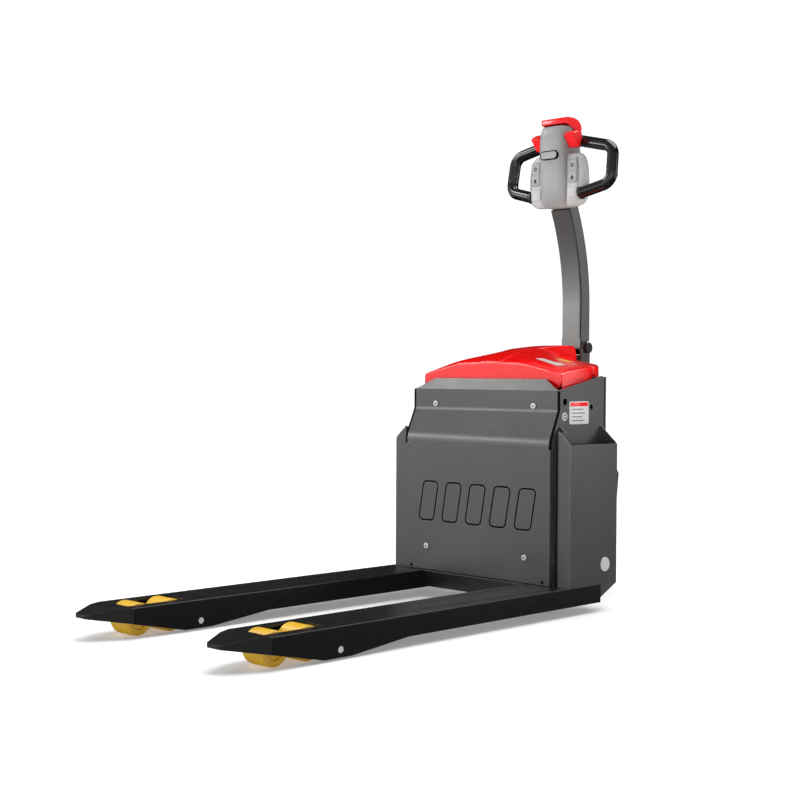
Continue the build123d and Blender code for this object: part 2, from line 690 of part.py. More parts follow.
def tiller_arm():
    """The tiller's box tube: straight at its foot, then curved towards the load."""
    with BuildPart() as arm:
        with BuildLine() as path:
            Line((0, STEER_Y, ARM_BOTTOM), (0, STEER_Y, ARM_STRAIGHT))
            centre = Plane(origin=(0, STEER_Y - ARM_RADIUS, ARM_STRAIGHT), x_dir=(0, 1, 0), z_dir=(1, 0, 0))
            bend = CenterArc((0, 0), ARM_RADIUS, 0, ARM_TURN, mode=Mode.PRIVATE)
            add(centre * bend)
        with BuildSketch(Plane(origin=(0, STEER_Y, ARM_BOTTOM), z_dir=(0, 0, 1))):
            RectangleRounded(ARM_WIDTH, ARM_DEPTH, 5)
            Rectangle(ARM_WIDTH - 2 * ARM_WALL, ARM_DEPTH - 2 * ARM_WALL, mode=Mode.SUBTRACT)
        sweep(path=path.wire())
        front = STEER_Y - ARM_DEPTH / 2
        slab(-ARM_WIDTH / 2, ARM_WIDTH / 2, front, front + ARM_WALL, ARM_BOTTOM - 22, ARM_BOTTOM + 10)
    return arm


HEAD_SIDE = [(354, 1176), (343, 1200), (338, 1290), (327, 1350), (327, 1378), (336, 1424), (408, 1424),
             (409, 1396), (434, 1388), (438, 1300), (432, 1200), (420, 1176)]
WING_FRONT = [(40, 1180), (80, 1184), (106, 1200), (112, 1240), (106, 1300), (90, 1328), (66, 1338),
              (40, 1338)]
WING_PLAN = [(40, 352), (88, 352), (106, 364), (112, 380), (104, 394), (76, 410), (40, 414)]
KEYS = {"left_upper_key": (-72, 1300), "left_lower_key": (-72, 1265),
        "right_upper_key": (72, 1300), "right_lower_key": (72, 1265)}
KEY_WIDTH = 26.0
KEY_HEIGHT = 28.0
HORN_BACK, HORN_Z = 325.0, 1334.0
LOWER_SPIGOT = (366, 1216)          # distance behind the load face and height


def closed_sketch(plane, points, inset):
    """A filled polygon on a plane, drawn in by inset."""
    with BuildSketch(plane) as face:
        with BuildLine():
            Polyline(*points, close=True)
        make_face()
        if inset:
            offset(amount=-inset, kind=Kind.INTERSECTION)
    return face.sketch


def wing_form(side, inset):
    """One wing of the head: its front outline, kept inside its outline from above."""
    with BuildPart() as wing:
        front = closed_sketch(Plane.XZ.offset(-back(340)), [(side * x, z) for x, z in WING_FRONT], inset)
        extrude(front, amount=-90)
        plan = closed_sketch(Plane.XY.offset(1150), [(side * x, back(y)) for x, y in WING_PLAN], inset)
        extrude(plan, amount=220, mode=Mode.INTERSECT)
    return wing


def head_form(inset):
    """The head's outer form, or its hollow when it is inset: a body with a wing on each side."""
    with BuildPart() as form:
        middle = closed_sketch(Plane.YZ.offset(-46 + inset), [(back(y), z) for y, z in HEAD_SIDE], inset)
        extrude(middle, amount=2 * (46 - inset))
        for side in SIDES.values():
            add(wing_form(side, inset).part)
            if inset:
                slab(side * 36, side * 48, back(368), back(404), 1200, 1325)
    return form


def head_shell(front):
    """One half of the tiller head's casing, split across its depth."""
    outer, hollow = head_form(0), head_form(4)
    with BuildPart() as shell:
        add(outer.part)
        slab(-41, 41, back(356), back(404), 1424, 1440)
        add(hollow.part, mode=Mode.SUBTRACT)
        slab(-37, 37, back(360), back(400), 1415, 1441, Mode.SUBTRACT)
        slab(-37, 37, back(362), back(445), 1170, 1202, Mode.SUBTRACT)
        with BuildSketch(Plane.XZ.offset(-back(HORN_BACK - 4))):
            with Locations((0, HORN_Z)):
                SlotOverall(63, 23)
        extrude(amount=-30, mode=Mode.SUBTRACT)
        for x, z in KEYS.values():
            half, tall = KEY_WIDTH / 2 + 0.5, KEY_HEIGHT / 2 + 0.5
            slab(x - half, x + half, back(345), back(362), z - tall, z + tall, Mode.SUBTRACT)
        bar(-130, 130, back(THROTTLE_BACK), THROTTLE_Z, 10 + RUNNING, Mode.SUBTRACT)
        bar(-130, 130, back(LOWER_SPIGOT[0]), LOWER_SPIGOT[1], 9 + RUNNING, Mode.SUBTRACT)
        for side in SIDES.values():
            bar(side * 92, side * 130, back(368), 1221, 26, Mode.SUBTRACT)
        if front:
            slab(-150, 150, back(300), back(HEAD_SPLIT), 1100, 1500, Mode.INTERSECT)
        else:
            slab(-150, 150, back(HEAD_SPLIT), back(500), 1100, 1500, Mode.INTERSECT)
    return shell


def handle(side):
    """One loop handle: a bent tube with a spigot at each end that enters the head."""
    low_y, low_z = LOWER_SPIGOT
    route = [(side * 60, back(THROTTLE_BACK), THROTTLE_Z), (side * 190, back(398), 1350),
             (side * 195, back(382), 1241), (side * 97, back(low_y), low_z)]
    start = Vector(*route[0])
    with BuildPart() as grip:
        with BuildLine() as path:
            FilletPolyline(*route, radius=36)
        with BuildSketch(Plane(origin=start, z_dir=Vector(*route[1]) - start)):
            Circle(GRIP_R)
        sweep(path=path.wire())
        bar(side * 38, side * 64, back(THROTTLE_BACK), THROTTLE_Z, 10)
        bar(side * 76, side * 100, back(low_y), low_z, 9)
    return grip


def throttle(side):
    """One butterfly of the drive throttle: a hub on the handle's spigot and a thumb lobe."""
    lobe = [(back(352), 1391, 12), (back(364), 1366, 12)]
    with BuildPart() as paddle:
        link(side * 48, side * 54.5, [(back(THROTTLE_BACK), THROTTLE_Z, 19), *lobe])
        link(side * 48, side * 82, lobe)
        fillet(paddle.edges().group_by(Axis.X)[-1 if side > 0 else 0], radius=2)
        bar(side * 47, side * 56, back(THROTTLE_BACK), THROTTLE_Z, 10 + RUNNING, Mode.SUBTRACT)
    return paddle


def belly_button():
    """The reversing safety button: a cap that sits over the head's neck."""
    outline = [(347, 1431), (351, 1448), (383, 1451), (412, 1446), (429, 1433), (424, 1416), (413, 1406),
               (409, 1431)]
    with BuildPart() as cap:
        side_plate(-46, 46, [(back(y), z) for y, z in outline])
        slab(-42.5, 42.5, back(354), back(406), 1430, 1446.8, Mode.SUBTRACT)
    return cap


def horn_button():
    """The horn button on the head's front."""
    with BuildPart() as button:
        with BuildSketch(Plane.XZ.offset(-back(HORN_BACK))):
            with Locations((0, HORN_Z)):
                SlotOverall(61, 21)
        extrude(amount=-10)
    return button


def key(x, z):
    """One square push key on a wing of the head."""
    with BuildPart() as cap:
        half, tall = KEY_WIDTH / 2, KEY_HEIGHT / 2
        slab(x - half, x + half, back(350), back(357), z - tall, z + tall)
        fillet(cap.edges().filter_by(Axis.Y), radius=2)
    return cap


# ------------------------------------------------------------------- build

def build():
    """Make every piece and write it."""
    for name, side in SIDES.items():
        write(fork(side), f"{name}_fork")
        write(inner_plate(side), f"{name}_inner_plate")
        write(side_pocket(side), f"{name}_side_pocket")
        write(wheel_bracket(side), f"{name}_wheel_bracket")
        write(bogie(side), f"{name}_bogie")
        write(push_rod(side), f"{name}_push_rod")
        write(load_wheel(side, -AXLE_SPREAD), f"{name}_front_load_wheel")
        write(load_wheel(side, AXLE_SPREAD), f"{name}_rear_load_wheel")
        write(chassis_plate(side), f"{name}_chassis_plate")
        write(handle(side), f"{name}_handle")
        write(throttle(side), f"{name}_throttle")
    write(heel_beam(), "heel_beam")
    write(front_panel(), "front_panel")
    write(panel_bolts(), "panel_bolts")
    write(pivot_bosses(), "pivot_bosses")
    write(lift_crosshead(), "lift_crosshead")
    write(lift_rod(), "lift_rod")
    write(bracket_pins(), "bracket_pins")
    write(rocker_shaft(), "rocker_shaft")
    write(rocker_arms(), "rocker_arms")
    write(base_plate(), "base_plate")
    write(turntable_plate(), "turntable_plate")
    write(slewing_ring(104, 90), "slewing_ring_outer")
    write(slewing_ring(90 - RUNNING, 70), "slewing_ring_inner")
    write(lift_cylinder(), "lift_cylinder")
    write(hydraulic_unit(), "hydraulic_unit")
    write(battery(), "battery")
    write(controller(), "controller")
    write(column_bracket(), "column_bracket")
    write(rear_cover(), "rear_cover")
    write(hood(), "hood")
    write(drive_guard(), "drive_guard")
    write(gearbox(), "gearbox")
    write(drive_motor(), "drive_motor")
    write(drive_wheel_hub(), "drive_wheel_hub")
    write(drive_tyre(), "drive_tyre")
    write(steering_column(), "steering_column")
    write(tiller_clevis(), "tiller_clevis")
    write(tiller_pin(), "tiller_pin")
    write(tiller_root(), "tiller_root")
    write(tiller_arm(), "tiller_arm")
    write(head_shell(True), "head_front_shell")
    write(head_shell(False), "head_rear_shell")
    write(belly_button(), "belly_button")
    write(horn_button(), "horn_button")
    for name, (x, z) in KEYS.items():
        write(key(x, z), name)


build()
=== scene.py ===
"""Looks of the pallet truck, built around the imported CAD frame. Metres, +Z up, forks to -Y."""
import json
import math

import bmesh
import bpy
from mathutils import Matrix, Vector
from mathutils.bvhtree import BVHTree


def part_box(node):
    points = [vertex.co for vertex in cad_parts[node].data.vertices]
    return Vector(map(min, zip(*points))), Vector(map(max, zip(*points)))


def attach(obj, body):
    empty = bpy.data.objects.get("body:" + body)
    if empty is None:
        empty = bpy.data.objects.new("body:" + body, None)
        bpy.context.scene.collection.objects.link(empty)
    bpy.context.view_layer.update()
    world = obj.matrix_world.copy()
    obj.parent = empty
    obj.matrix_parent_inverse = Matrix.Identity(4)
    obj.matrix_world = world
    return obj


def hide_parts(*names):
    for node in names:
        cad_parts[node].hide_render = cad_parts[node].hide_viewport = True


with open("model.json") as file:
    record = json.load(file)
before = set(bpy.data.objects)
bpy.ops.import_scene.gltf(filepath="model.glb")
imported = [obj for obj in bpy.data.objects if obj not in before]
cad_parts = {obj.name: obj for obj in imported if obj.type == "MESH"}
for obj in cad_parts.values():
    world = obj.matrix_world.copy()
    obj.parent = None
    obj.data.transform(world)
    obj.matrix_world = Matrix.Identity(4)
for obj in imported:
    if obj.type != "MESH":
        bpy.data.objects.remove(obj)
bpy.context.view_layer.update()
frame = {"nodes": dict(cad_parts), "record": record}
MM = 0.001
LOAD_FACE_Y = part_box("front_panel")[0].y
STEER_Y = sum(corner.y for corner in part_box("steering_column")) / 2


def at(x, back, z):
    """A point in metres from millimetres: x, distance behind the load face, height."""
    return Vector((x * MM, LOAD_FACE_Y + back * MM, z * MM))


# ------------------------------------------------------------ material graphs

class Graph:
    """A small helper that builds one procedural material."""

    def __init__(self, name, base, roughness, metallic=0.0, coat=0.0, specular=0.5):
        self.material = bpy.data.materials.new(name)
        self.material.use_nodes = True
        self.tree = self.material.node_tree
        self.shader = self.tree.nodes["Principled BSDF"]
        self.shader.inputs["Base Color"].default_value = (*base, 1.0)
        self.shader.inputs["Roughness"].default_value = roughness
        self.shader.inputs["Metallic"].default_value = metallic
        self.shader.inputs["Coat Weight"].default_value = coat
        self.shader.inputs["Coat Roughness"].default_value = 0.08
        self.shader.inputs["Specular IOR Level"].default_value = specular
        self.coordinates = self.node("ShaderNodeTexCoord").outputs["Object"]

    def node(self, kind, **settings):
        made = self.tree.nodes.new(kind)
        for key, value in settings.items():
            setattr(made, key, value)
        return made

    def join(self, source, target):
        self.tree.links.new(source, target)

    def noise(self, scale, detail=4.0, roughness=0.5, stretch=None):
        source = self.coordinates
        if stretch:
            mapping = self.node("ShaderNodeMapping")
            mapping.inputs["Scale"].default_value = stretch
            self.join(source, mapping.inputs["Vector"])
            source = mapping.outputs["Vector"]
        noise = self.node("ShaderNodeTexNoise")
        noise.inputs["Scale"].default_value = scale
        noise.inputs["Detail"].default_value = detail
        noise.inputs["Roughness"].default_value = roughness
        self.join(source, noise.inputs["Vector"])
        return noise.outputs["Fac"]

    def remap(self, value, low, high, to_low, to_high):
        made = self.node("ShaderNodeMapRange")
        made.inputs["From Min"].default_value = low
        made.inputs["From Max"].default_value = high
        made.inputs["To Min"].default_value = to_low
        made.inputs["To Max"].default_value = to_high
        self.join(value, made.inputs["Value"])
        return made.outputs["Result"]

    def math(self, operation, a, b=None):
        made = self.node("ShaderNodeMath", operation=operation)
        for index, value in enumerate((a, b)):
            if value is None:
                continue
            if isinstance(value, (int, float)):
                made.inputs[index].default_value = value
            else:
                self.join(value, made.inputs[index])
        return made.outputs["Value"]

    def mix(self, factor, first, second):
        made = self.node("ShaderNodeMix", data_type="RGBA")
        for index, value in ((6, first), (7, second)):
            if isinstance(value, tuple):
                made.inputs[index].default_value = (*value, 1.0)
            else:
                self.join(value, made.inputs[index])
        if isinstance(factor, (int, float)):
            made.inputs[0].default_value = factor
        else:
            self.join(factor, made.inputs[0])
        return made.outputs[2]

    def colour(self, output):
        self.join(output, self.shader.inputs["Base Color"])

    def rough(self, output):
        self.join(output, self.shader.inputs["Roughness"])

    def bump(self, height, strength, distance):
        made = self.node("ShaderNodeBump")
        made.inputs["Strength"].default_value = strength
        made.inputs["Distance"].default_value = distance
        self.join(height, made.inputs["Height"])
        self.join(made.outputs["Normal"], self.shader.inputs["Normal"])

    def edges(self, radius=0.0012, reach=0.08):
        """A mask that is 1 along sharp edges and 0 on faces."""
        bevel = self.node("ShaderNodeBevel", samples=4)
        bevel.inputs["Radius"].default_value = radius
        geometry = self.node("ShaderNodeNewGeometry")
        dot = self.node("ShaderNodeVectorMath", operation="DOT_PRODUCT")
        self.join(bevel.outputs["Normal"], dot.inputs[0])
        self.join(geometry.outputs["Normal"], dot.inputs[1])
        return self.remap(dot.outputs["Value"], 1.0 - reach, 1.0, 1.0, 0.0)


def lighter(colour, factor):
    return tuple(min(1.0, c * factor) for c in colour)


def powder_coat(name, base, grain=650.0, roughness=0.42, edge_highlight_and_wear=2.6, strength=0.25, metallic=0.0):
    """Textured powder coat: fine orange peel, cloudy sheen, and paler edges that are partly rubbed wear and partly a
    painted highlight.
    """
    g = Graph(name, base, roughness, metallic)
    cloud = g.noise(6.0, 3.0)
    speck = g.noise(420.0, 2.0)
    tone = g.mix(g.remap(cloud, 0.3, 0.7, 0.0, 1.0), lighter(base, 0.95), lighter(base, 1.05))
    tone = g.mix(g.remap(speck, 0.62, 0.78, 0.0, 0.35), tone, lighter(base, 1.9))
    # Painted highlight: the edge mask lightens every sharp edge, partly as rubbed wear and partly as the glint a
    # rounded edge catches.
    pale_edges = g.math("MULTIPLY", g.edges(), g.remap(g.noise(55.0, 5.0), 0.35, 0.65, 0.35, 1.0))
    g.colour(g.mix(pale_edges, tone, tuple(c * edge_highlight_and_wear + 0.03 for c in base)))
    g.rough(g.remap(g.noise(24.0, 4.0), 0.3, 0.7, roughness - 0.015, roughness + 0.03))
    g.bump(g.noise(grain, 2.0), strength, 0.0004)
    return g.material


def plastic(name, base, roughness=0.35, grain=1400.0, strength=0.12, edge=1.35, specular=0.5):
    """Moulded plastic: fine texture, slight mottling, paler handled edges."""
    g = Graph(name, base, roughness, specular=specular)
    tone = g.mix(g.remap(g.noise(14.0, 3.0), 0.3, 0.7, 0.0, 1.0), lighter(base, 0.95), lighter(base, 1.05))
    pale_edges = g.math("MULTIPLY", g.edges(0.0009), g.remap(g.noise(70.0, 4.0), 0.3, 0.7, 0.2, 0.8))
    g.colour(g.mix(pale_edges, tone, lighter(base, edge)))
    g.rough(g.remap(g.noise(40.0, 4.0), 0.3, 0.7, roughness - 0.05, roughness + 0.07))
    g.bump(g.noise(grain, 2.0), strength, 0.0002)
    return g.material


def gloss_plastic(name, base, roughness=0.16, edge=1.2):
    """Glossy moulded plastic with a faint ripple and hairline scuffs."""
    g = Graph(name, base, roughness, coat=0.35)
    scuff = g.remap(g.noise(90.0, 6.0, 0.7, (1.0, 0.15, 1.0)), 0.58, 0.75, 0.0, 1.0)
    tone = g.mix(g.remap(g.noise(5.0, 2.0), 0.3, 0.7, 0.0, 1.0), lighter(base, 0.94), base)
    g.colour(g.mix(g.math("MULTIPLY", g.edges(0.0009), 0.5), tone, lighter(base, edge)))
    g.rough(g.remap(scuff, 0.0, 1.0, roughness, roughness + 0.14))
    g.bump(g.noise(30.0, 2.0), 0.04, 0.0006)
    return g.material


def metal(name, base, roughness=0.28, brushed=(1.0, 1.0, 12.0), dirt=0.5, metallic=1.0):
    """Bright or machined metal with brush lines and dull patches."""
    g = Graph(name, base, roughness, metallic=metallic)
    lines = g.noise(260.0, 3.0, 0.6, brushed)
    patch = g.remap(g.noise(45.0, 5.0), 0.45, 0.75, 0.0, dirt)
    g.colour(g.mix(patch, base, lighter(base, 0.6)))
    g.rough(g.math("ADD", g.remap(lines, 0.3, 0.7, roughness - 0.08, roughness + 0.1), g.math("MULTIPLY", patch, 0.2)))
    g.bump(lines, 0.08, 0.0002)
    return g.material


def polyurethane(name, base):
    """Cast polyurethane: waxy, slightly translucent, with dusty tread marks."""
    g = Graph(name, base, 0.38)
    g.shader.inputs["Subsurface Weight"].default_value = 0.12
    g.shader.inputs["Subsurface Radius"].default_value = (0.006, 0.003, 0.001)
    dust = g.remap(g.noise(38.0, 6.0, 0.65), 0.48, 0.7, 0.0, 0.4)
    tone = g.mix(g.remap(g.noise(9.0, 3.0), 0.3, 0.7, 0.0, 1.0), lighter(base, 0.9), lighter(base, 1.08))
    g.colour(g.mix(dust, tone, tuple(c * 0.6 + 0.08 for c in base)))
    g.rough(g.remap(dust, 0.0, 0.4, 0.32, 0.55))
    g.bump(g.noise(300.0, 3.0), 0.1, 0.0003)
    return g.material


def rubber(name, base=(0.022, 0.022, 0.022)):
    """Black solid-tyre rubber with dusty scuffs."""
    g = Graph(name, base, 0.7)
    dust = g.remap(g.noise(30.0, 6.0, 0.7), 0.45, 0.75, 0.0, 0.5)
    g.colour(g.mix(dust, base, (0.075, 0.072, 0.068)))
    g.bump(g.noise(260.0, 4.0), 0.35, 0.0005)
    return g.material


def casting(name, base, roughness=0.55, metallic=0.0):
    """Cast metal with a pebbly skin and rubbed edges."""
    g = Graph(name, base, roughness, metallic=metallic)
    tone = g.mix(g.remap(g.noise(18.0, 4.0), 0.3, 0.7, 0.0, 1.0), lighter(base, 0.8), lighter(base, 1.15))
    g.colour(g.mix(g.math("MULTIPLY", g.edges(0.0015), 0.6), tone, tuple(c * 1.8 + 0.05 for c in base)))
    g.rough(g.remap(g.noise(60.0, 4.0), 0.3, 0.7, roughness - 0.1, roughness + 0.1))
    g.bump(g.noise(320.0, 4.0, 0.6), 0.5, 0.0006)
    return g.material


MATERIALS = {
    # The edge values below lighten the paint's edges, partly as wear and partly as a painted highlight; the forks'
    # value is by far the strongest.
    "fork_paint": powder_coat("fork_paint", (0.009, 0.009, 0.0095), roughness=0.32, edge_highlight_and_wear=14.0, strength=0.1, metallic=0.2),
    "body_paint": powder_coat("body_paint", (0.1, 0.102, 0.097), roughness=0.34, edge_highlight_and_wear=4.0, strength=0.15, metallic=0.5),
    "cover_paint": powder_coat("cover_paint", (0.03, 0.03, 0.031), roughness=0.45, edge_highlight_and_wear=3.0),
    "frame_black": powder_coat("frame_black", (0.018, 0.018, 0.02), roughness=0.5, edge_highlight_and_wear=3.0),
    "hydraulic_paint": powder_coat("hydraulic_paint", (0.03, 0.032, 0.036), roughness=0.3, grain=300.0),
    "clevis_grey": powder_coat("clevis_grey", (0.11, 0.112, 0.11), roughness=0.34, edge_highlight_and_wear=2.2, strength=0.1, metallic=0.5),
    "arm_grey": powder_coat("arm_grey", (0.17, 0.174, 0.168), roughness=0.32, edge_highlight_and_wear=1.5, strength=0.05, metallic=0.7),
    "bright_steel": metal("bright_steel", (0.72, 0.72, 0.7), dirt=0.3, metallic=0.35),
    "bearing_steel": metal("bearing_steel", (0.5, 0.5, 0.5), 0.22, (12.0, 12.0, 1.0)),
    "chrome_cap": metal("chrome_cap", (0.75, 0.75, 0.73), 0.24, dirt=0.25, metallic=0.35),
    "cast_aluminium": casting("cast_aluminium", (0.42, 0.43, 0.44), 0.42, 0.9),
    "cast_iron_black": casting("cast_iron_black", (0.03, 0.03, 0.03)),
    "battery_case": plastic("battery_case", (0.025, 0.025, 0.028), 0.5),
    "knob_black": plastic("knob_black", (0.012, 0.012, 0.012), 0.35),
    "head_grey": plastic("head_grey", (0.32, 0.318, 0.32), 0.36),
    "key_grey": plastic("key_grey", (0.34, 0.35, 0.34), 0.38),
    "hood_red": gloss_plastic("hood_red", (1.0, 0.003, 0.003), 0.24),
    "control_red": gloss_plastic("control_red", (1.0, 0.01, 0.014), 0.24),
    "grip_black": gloss_plastic("grip_black", (0.007, 0.007, 0.008), 0.17),
    "load_wheel_pu": polyurethane("load_wheel_pu", (0.82, 0.48, 0.03)),
    "drive_tyre_rubber": rubber("drive_tyre_rubber"),
    # A dull black for real seams and print, and also for the black sheets that are painted shade and shadow in gaps,
    # grooves and bolt sockets.
    "seam_black": plastic("seam_black", (0.0015, 0.0015, 0.0015), 0.7, specular=0.08),
    "wing_grey": plastic("wing_grey", (0.5, 0.502, 0.5), 0.36),
    "label_white": plastic("label_white", (0.72, 0.72, 0.7), 0.35),
    "label_grey": plastic("label_grey", (0.25, 0.25, 0.26), 0.5),
    "label_green": plastic("label_green", (0.5, 0.62, 0.48), 0.35),
    "label_yellow": plastic("label_yellow", (0.75, 0.55, 0.05), 0.35),
}


def dress_cad_nodes():
    """Give every CAD node the procedural material of its slot."""
    slots = {row["node"]: row["material_slot"] for row in frame["record"]["subparts"]}
    for name, piece in frame["nodes"].items():
        piece.data.materials.clear()
        piece.data.materials.append(MATERIALS[slots[name]])


# ------------------------------------------------------------------- staging

def set_camera():
    """The camera at the photograph's viewing angle."""
    azimuth, elevation, roll = math.radians(45.206), math.radians(1.074), math.radians(-0.324)
    view = Vector((math.sin(azimuth) * math.cos(elevation), -math.cos(azimuth) * math.cos(elevation),
                   math.sin(elevation)))
    side = Vector((math.cos(azimuth), math.sin(azimuth), 0.0))
    up = view.cross(side)
    right = side * math.cos(roll) - up * math.sin(roll)
    top = side * math.sin(roll) + up * math.cos(roll)
    camera = bpy.data.objects.new("camera", bpy.data.cameras.new("camera"))
    bpy.context.scene.collection.objects.link(camera)
    camera.matrix_world = Matrix.Translation(at(2792, -3078, 668)) @ Matrix((right, top, view)).transposed().to_4x4()
    camera.data.lens = 64.5
    camera.data.clip_end = 60.0
    bpy.context.scene.camera = camera


def sun_light(name, direction, strength, spread):
    """A wide soft light that falls evenly over the whole floor."""
    lamp = bpy.data.objects.new(name, bpy.data.lights.new(name, "SUN"))
    lamp.data.energy = strength
    lamp.data.angle = math.radians(spread)
    lamp.rotation_euler = Vector(direction).to_track_quat("-Z", "Y").to_euler()
    bpy.context.scene.collection.objects.link(lamp)


def area_light(name, place, target, size, power):
    """A rectangular softbox that points at a target."""
    lamp = bpy.data.objects.new(name, bpy.data.lights.new(name, "AREA"))
    lamp.data.shape = "RECTANGLE"
    lamp.data.size, lamp.data.size_y = size
    lamp.data.energy = power
    lamp.location = place
    lamp.rotation_euler = (Vector(target) - Vector(place)).to_track_quat("-Z", "Y").to_euler()
    bpy.context.scene.collection.objects.link(lamp)


def studio_world():
    """A studio that is bright on the photographer's side, and dark behind and overhead."""
    world = bpy.data.worlds.new("studio")
    world.use_nodes = True
    tree = world.node_tree
    direction = tree.nodes.new("ShaderNodeTexCoord").outputs["Generated"]

    def facing(axis, low, high, dark, bright):
        dot = tree.nodes.new("ShaderNodeVectorMath")
        dot.operation = "DOT_PRODUCT"
        dot.inputs[1].default_value = axis
        tree.links.new(direction, dot.inputs[0])
        span = tree.nodes.new("ShaderNodeMapRange")
        span.interpolation_type = "SMOOTHSTEP"
        for key, value in (("From Min", low), ("From Max", high), ("To Min", dark), ("To Max", bright)):
            span.inputs[key].default_value = value
        tree.links.new(dot.outputs["Value"], span.inputs["Value"])
        return span.outputs["Result"]

    def product(first, second):
        made = tree.nodes.new("ShaderNodeMath")
        made.operation = "MULTIPLY"
        tree.links.new(first, made.inputs[0])
        tree.links.new(second, made.inputs[1])
        return made.outputs["Value"]

    front = facing((0.0, -1.0, 0.0), -0.45, 0.8, 0.03, 1.15)
    ceiling = facing((0.0, 0.0, 1.0), 0.1, 0.5, 1.0, 0.22)
    ground = facing((0.0, 0.0, 1.0), -0.35, 0.0, 0.12, 1.0)
    background = tree.nodes["Background"]
    background.inputs["Color"].default_value = (1.0, 1.0, 1.0, 1.0)
    tree.links.new(product(product(front, ceiling), ground), background.inputs["Strength"])
    bpy.context.scene.world = world


def glow(name, colour, strength, albedo):
    """A matt white stage material that glows a little, so that it stays pale."""
    g = Graph(name, albedo, 0.8)
    g.shader.inputs["Specular IOR Level"].default_value = 0.0
    g.shader.inputs["Emission Color"].default_value = (*colour, 1.0)
    g.shader.inputs["Emission Strength"].default_value = strength
    g.rough(g.remap(g.noise(3.0, 3.0), 0.3, 0.7, 0.78, 0.82))
    return g.material


def set_stage():
    """A pale floor, a white backdrop that only the camera sees, and soft studio lights."""
    reach = 30.0
    floor_mesh = bpy.data.meshes.new("floor")
    corners = [(-reach, -reach, 0), (reach, -reach, 0), (reach, reach, 0), (-reach, reach, 0)]
    floor_mesh.from_pydata(corners, [], [(0, 1, 2, 3)])
    floor = bpy.data.objects.new("floor", floor_mesh)
    floor_mesh.materials.append(glow("floor", (1.0, 1.0, 1.0), FLOOR_GLOW, (0.86, 0.86, 0.86)))
    dome_bm = bmesh.new()
    bmesh.ops.create_uvsphere(dome_bm, u_segments=48, v_segments=24, radius=reach * 0.95)
    dome_mesh = bpy.data.meshes.new("backdrop")
    dome_bm.to_mesh(dome_mesh)
    dome_bm.free()
    dome = bpy.data.objects.new("backdrop", dome_mesh)
    dome_mesh.materials.append(glow("backdrop", (1.0, 1.0, 1.0), 1.1, (0.0, 0.0, 0.0)))
    dome.visible_diffuse = dome.visible_glossy = dome.visible_transmission = dome.visible_shadow = False
    floor.visible_glossy = False
    for stage_piece in (floor, dome):
        bpy.context.scene.collection.objects.link(stage_piece)
    studio_world()
    bpy.context.scene.view_settings.view_transform = "Standard"
    sun_light("overhead", (-0.15, -0.3, -1.0), 3.0, 60.0)
    area_light("right_softbox", (3.2, 3.0, 1.2), (0.3, 0.5, 0.6), (1.4, 2.2), 22.0)
    area_light("flange_softbox", (-2.5, -0.7, 3.1), (0.0, 0.3, 0.65), (1.4, 0.8), 26.0)
    area_light("left_strip", (-2.9, -2.6, 1.7), (0.0, 0.3, 0.5), (3.0, 0.35), 40.0)


FLOOR_GLOW = 0.25


# ---------------------------------------------------------------- mesh helpers

def make_piece(name, bm, body, slot, bevel=0.0, segments=2, subdivide=0, solidify=0.0, sharp=None):
    """Turn a bmesh into a finished piece that rides on a body."""
    bmesh.ops.remove_doubles(bm, verts=bm.verts, dist=0.00002)
    bmesh.ops.recalc_face_normals(bm, faces=bm.faces)
    mesh = bpy.data.meshes.new(name)
    bm.to_mesh(mesh)
    bm.free()
    for polygon in mesh.polygons:
        polygon.use_smooth = True
    if sharp:
        mesh.set_sharp_from_angle(angle=math.radians(sharp))
    piece = bpy.data.objects.new(name, mesh)
    bpy.context.scene.collection.objects.link(piece)
    mesh.materials.append(MATERIALS[slot])
    if solidify:
        shell = piece.modifiers.new("wall", "SOLIDIFY")
        shell.thickness = solidify
        shell.offset = -1.0
    if bevel:
        edge = piece.modifiers.new("bevel", "BEVEL")
        edge.width = bevel
        edge.segments = segments
        edge.limit_method = "ANGLE"
        edge.angle_limit = math.radians(28.0)
        edge.harden_normals = True
    if subdivide:
        smooth = piece.modifiers.new("smooth", "SUBSURF")
        smooth.levels = smooth.render_levels = subdivide
    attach(piece, body)
    return piece


def ring_loft(rings, cap=True):
    """A bmesh through closed rings of points, with its ends filled."""
    bm = bmesh.new()
    rows = [[bm.verts.new(point) for point in ring] for ring in rings]
    for low, high in zip(rows, rows[1:]):
        for index in range(len(low)):
            after = (index + 1) % len(low)
            bm.faces.new((low[index], low[after], high[after], high[index]))
    if cap:
        bm.faces.new(rows[0][::-1])
        bm.faces.new(rows[-1])
    return bm


def grid(rows):
    """An open bmesh sheet through rows of points."""
    bm = bmesh.new()
    made = [[bm.verts.new(point) for point in row] for row in rows]
    for low, high in zip(made, made[1:]):
        for index in range(len(low) - 1):
            bm.faces.new((low[index], low[index + 1], high[index + 1], high[index]))
    return bm


def crease(piece, test, value):
    """Crease the edges whose two ends pass a test, for the subdivision."""
    mesh = piece.data
    attribute = mesh.attributes.get("crease_edge") or mesh.attributes.new("crease_edge", "FLOAT", "EDGE")
    for edge in mesh.edges:
        if all(test(mesh.vertices[index].co) for index in edge.vertices):
            attribute.data[edge.index].value = value


